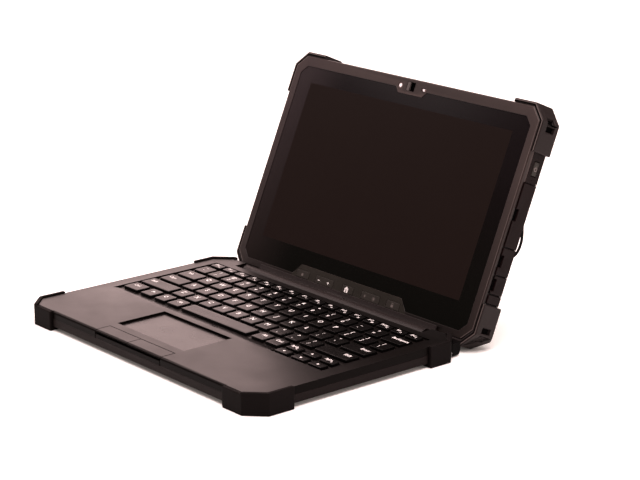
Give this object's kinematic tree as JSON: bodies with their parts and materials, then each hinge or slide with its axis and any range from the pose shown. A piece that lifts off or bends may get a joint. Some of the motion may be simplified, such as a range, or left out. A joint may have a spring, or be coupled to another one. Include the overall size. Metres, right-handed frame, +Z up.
{
  "type": "rugged detachable laptop computer",
  "caption": "Rugged detachable laptop: keyboard base with corner bumpers, hinged dock with a kickstand, and a bumpered tablet standing in it.",
  "frame": {"origin": "on the desk, under the centre of the opened laptop's bounding box", "axes": "+X to the user's right, +Y away from the user towards the screen, +Z up"},
  "size_m": [0.314, 0.3225, 0.1945],
  "materials": {
    "base_shell": "dark grey-brown moulded magnesium and plastic, fine satin texture",
    "deck": "grey-brown satin paint",
    "bumper": "soft-touch dark brown rubber",
    "keycap": "black, satin, pale printed legends",
    "keyplate": "black satin",
    "silicone": "translucent grey",
    "pcb": "green solder mask",
    "touch": "grey-brown, smooth",
    "screw": "zinc plated",
    "steel": "plain",
    "hinge": "dark paint",
    "dock": "dark grey-brown paint",
    "bezel": "dark brown, satin",
    "glass": "black bordered cover glass",
    "display": "display, switched off",
    "body": "dark grey-brown paint",
    "battery": "wrapped cells",
    "copper": "copper",
    "contact": "gold plated contacts in black plastic",
    "button": "dark, white symbols",
    "shutter": "light grey slider",
    "camera": "lens cover",
    "door": "dark plastic with seal",
    "cord": "braided black cord"
  },
  "bodies": {
    "base": {"base_bottom_shell": "base_shell", "base_deck": "deck", "base_bumper_front_left": "bumper", "base_bumper_front_right": "bumper", "base_bumper_rear_left": "bumper", "base_bumper_rear_right": "bumper", "keyboard_plate": "keyplate", "dome_sheet": "silicone", "base_board": "pcb", "touchpad": "touch", "base_screws": "screw", "hinge_blocks": "hinge", "hinge_pins": "steel"},
    "dock": {"dock_spine": "dock", "dock_back_plate": "dock", "dock_screws": "screw", "dock_connector": "contact", "dock_studs": "steel", "kickstand_pins": "steel"},
    "kickstand": {"kickstand": "dock", "kickstand_foot": "bumper"},
    "tablet": {"bezel": "bezel", "cover_glass": "glass", "display_panel": "display", "display_gasket": "silicone", "tablet_frame": "body", "tablet_back_shell": "body", "tablet_screws": "screw", "tablet_bumper_top_left": "bumper", "tablet_bumper_top_right": "bumper", "tablet_bumper_bottom_left": "bumper", "tablet_bumper_bottom_right": "bumper", "battery": "battery", "main_board": "pcb", "heat_spreader": "copper", "port_sockets": "contact", "camera_module": "camera", "door_rod": "steel", "tether_loop": "cord"},
    "function_keys": {"function_keys": "keycap"},
    "number_keys": {"number_keys": "keycap"},
    "tab_row_keys": {"tab_row_keys": "keycap"},
    "home_row_keys": {"home_row_keys": "keycap"},
    "shift_row_keys": {"shift_row_keys": "keycap"},
    "bottom_row_keys": {"bottom_row_keys": "keycap"},
    "space_bar": {"space_bar": "keycap"},
    "arrow_keys": {"arrow_keys": "keycap"},
    "touchpad_button_left": {"touchpad_button_left": "touch"},
    "touchpad_button_right": {"touchpad_button_right": "touch"},
    "menu_button": {"menu_button": "button"},
    "home_button": {"home_button": "button"},
    "lock_button": {"lock_button": "button"},
    "volume_rocker": {"volume_rocker": "button"},
    "brightness_rocker": {"brightness_rocker": "button"},
    "power_button": {"power_button": "button"},
    "camera_shutter": {"camera_shutter": "shutter"},
    "port_door_upper": {"port_door_upper": "door"},
    "port_door_middle": {"port_door_middle": "door"},
    "port_door_lower": {"port_door_lower": "door"},
    "card_door": {"card_door": "door"}
  },
  "joints": [
    {"name": "lid_hinge", "type": "hinge", "parent": "base", "child": "dock", "pos_m": [0, 0.04654, 0.011], "axis": [1, 0, 0], "range_deg": [0, 113.5]},
    {"name": "undock_slide", "type": "slide", "parent": "dock", "child": "tablet", "axis": [0, 0.3993, 0.9168], "range_m": [0, 0.04]},
    {"name": "kickstand_hinge", "type": "hinge", "parent": "dock", "child": "kickstand", "pos_m": [0, 0.12543, 0.08646], "axis": [1, 0, 0], "range_deg": [-40.7, 0]},
    {"name": "function_keys_travel", "type": "slide", "parent": "base", "child": "function_keys", "axis": [0, 0, -1], "range_m": [0, 0.0015], "stiffness_N_per_m": 400, "springref_m": -0.0005},
    {"name": "number_keys_travel", "type": "slide", "parent": "base", "child": "number_keys", "axis": [0, 0, -1], "range_m": [0, 0.0015], "stiffness_N_per_m": 400, "springref_m": -0.0005},
    {"name": "tab_row_keys_travel", "type": "slide", "parent": "base", "child": "tab_row_keys", "axis": [0, 0, -1], "range_m": [0, 0.0015], "stiffness_N_per_m": 400, "springref_m": -0.0005},
    {"name": "home_row_keys_travel", "type": "slide", "parent": "base", "child": "home_row_keys", "axis": [0, 0, -1], "range_m": [0, 0.0015], "stiffness_N_per_m": 400, "springref_m": -0.0005},
    {"name": "shift_row_keys_travel", "type": "slide", "parent": "base", "child": "shift_row_keys", "axis": [0, 0, -1], "range_m": [0, 0.0015], "stiffness_N_per_m": 400, "springref_m": -0.0005},
    {"name": "bottom_row_keys_travel", "type": "slide", "parent": "base", "child": "bottom_row_keys", "axis": [0, 0, -1], "range_m": [0, 0.0015], "stiffness_N_per_m": 400, "springref_m": -0.0005},
    {"name": "space_bar_travel", "type": "slide", "parent": "base", "child": "space_bar", "axis": [0, 0, -1], "range_m": [0, 0.0015], "stiffness_N_per_m": 400, "springref_m": -0.0005},
    {"name": "arrow_keys_travel", "type": "slide", "parent": "base", "child": "arrow_keys", "axis": [0, 0, -1], "range_m": [0, 0.0015], "stiffness_N_per_m": 400, "springref_m": -0.0005},
    {"name": "touchpad_button_left_travel", "type": "slide", "parent": "base", "child": "touchpad_button_left", "axis": [0, 0, -1], "range_m": [0, 0.0006], "stiffness_N_per_m": 600, "springref_m": -0.0004},
    {"name": "touchpad_button_right_travel", "type": "slide", "parent": "base", "child": "touchpad_button_right", "axis": [0, 0, -1], "range_m": [0, 0.0006], "stiffness_N_per_m": 600, "springref_m": -0.0004},
    {"name": "menu_button_travel", "type": "slide", "parent": "tablet", "child": "menu_button", "axis": [0, 0.9168, -0.3993], "range_m": [0, 0.0005], "stiffness_N_per_m": 600, "springref_m": -0.0004},
    {"name": "home_button_travel", "type": "slide", "parent": "tablet", "child": "home_button", "axis": [0, 0.9168, -0.3993], "range_m": [0, 0.0005], "stiffness_N_per_m": 600, "springref_m": -0.0004},
    {"name": "lock_button_travel", "type": "slide", "parent": "tablet", "child": "lock_button", "axis": [0, 0.9168, -0.3993], "range_m": [0, 0.0005], "stiffness_N_per_m": 600, "springref_m": -0.0004},
    {"name": "volume_rocker_tilt", "type": "hinge", "parent": "tablet", "child": "volume_rocker", "pos_m": [-0.031, 0.06717, 0.01678], "axis": [0, 0.3993, 0.9168], "range_deg": [-2, 2], "stiffness_Nm_per_rad": 0.008},
    {"name": "brightness_rocker_tilt", "type": "hinge", "parent": "tablet", "child": "brightness_rocker", "pos_m": [0.0295, 0.06717, 0.01678], "axis": [0, 0.3993, 0.9168], "range_deg": [-2, 2], "stiffness_Nm_per_rad": 0.008},
    {"name": "power_button_travel", "type": "slide", "parent": "tablet", "child": "power_button", "axis": [-1, 0, 0], "range_m": [0, 0.0008], "stiffness_N_per_m": 600, "springref_m": -0.0004},
    {"name": "camera_shutter_slide", "type": "slide", "parent": "tablet", "child": "camera_shutter", "axis": [1, 0, 0], "range_m": [0, 0.0062]},
    {"name": "port_door_upper_hinge", "type": "hinge", "parent": "tablet", "child": "port_door_upper", "pos_m": [0.1534, 0.10973, 0.07694], "axis": [0, 0.3993, 0.9168], "range_deg": [0, 110]},
    {"name": "port_door_middle_hinge", "type": "hinge", "parent": "tablet", "child": "port_door_middle", "pos_m": [0.1534, 0.10973, 0.07694], "axis": [0, 0.3993, 0.9168], "range_deg": [0, 110]},
    {"name": "port_door_lower_hinge", "type": "hinge", "parent": "tablet", "child": "port_door_lower", "pos_m": [0.1534, 0.10973, 0.07694], "axis": [0, 0.3993, 0.9168], "range_deg": [0, 110]},
    {"name": "card_door_hinge", "type": "hinge", "parent": "tablet", "child": "card_door", "pos_m": [0.1534, 0.10973, 0.07694], "axis": [0, 0.3993, 0.9168], "range_deg": [0, 110]}
  ]
}
